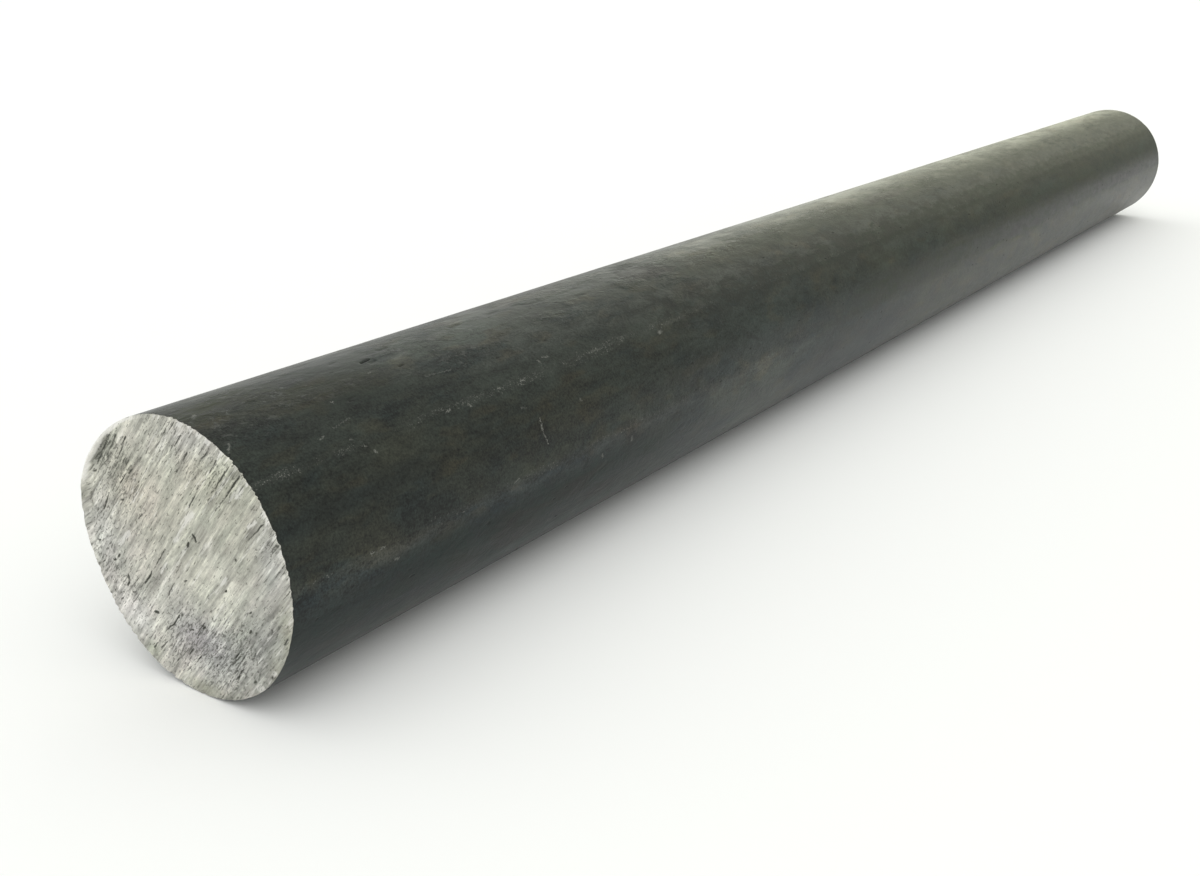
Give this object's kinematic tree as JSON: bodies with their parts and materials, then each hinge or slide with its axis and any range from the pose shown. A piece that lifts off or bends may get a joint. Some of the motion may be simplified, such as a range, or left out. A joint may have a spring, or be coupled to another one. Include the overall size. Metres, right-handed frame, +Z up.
{
  "type": "round steel bar",
  "caption": "Solid round bar of black hot-rolled steel, sawn square at both ends, raw stock to be cut, turned, drilled, welded or gripped.",
  "frame": {"origin": "on the bar's line of contact with the level surface it lies on, midway along its length", "axes": "+X along the bar's own axis, from one sawn end to the other; +Z up, away from the surface it lies on"},
  "size_m": [0.5, 0.0449, 0.045],
  "materials": {
    "steel": "black-grey hot-rolled mill scale on the round skin; bare light-grey saw-cut steel on the two end faces and their dressed edges"
  },
  "bodies": {
    "root": {"round_bar": "steel"}
  },
  "joints": []
}
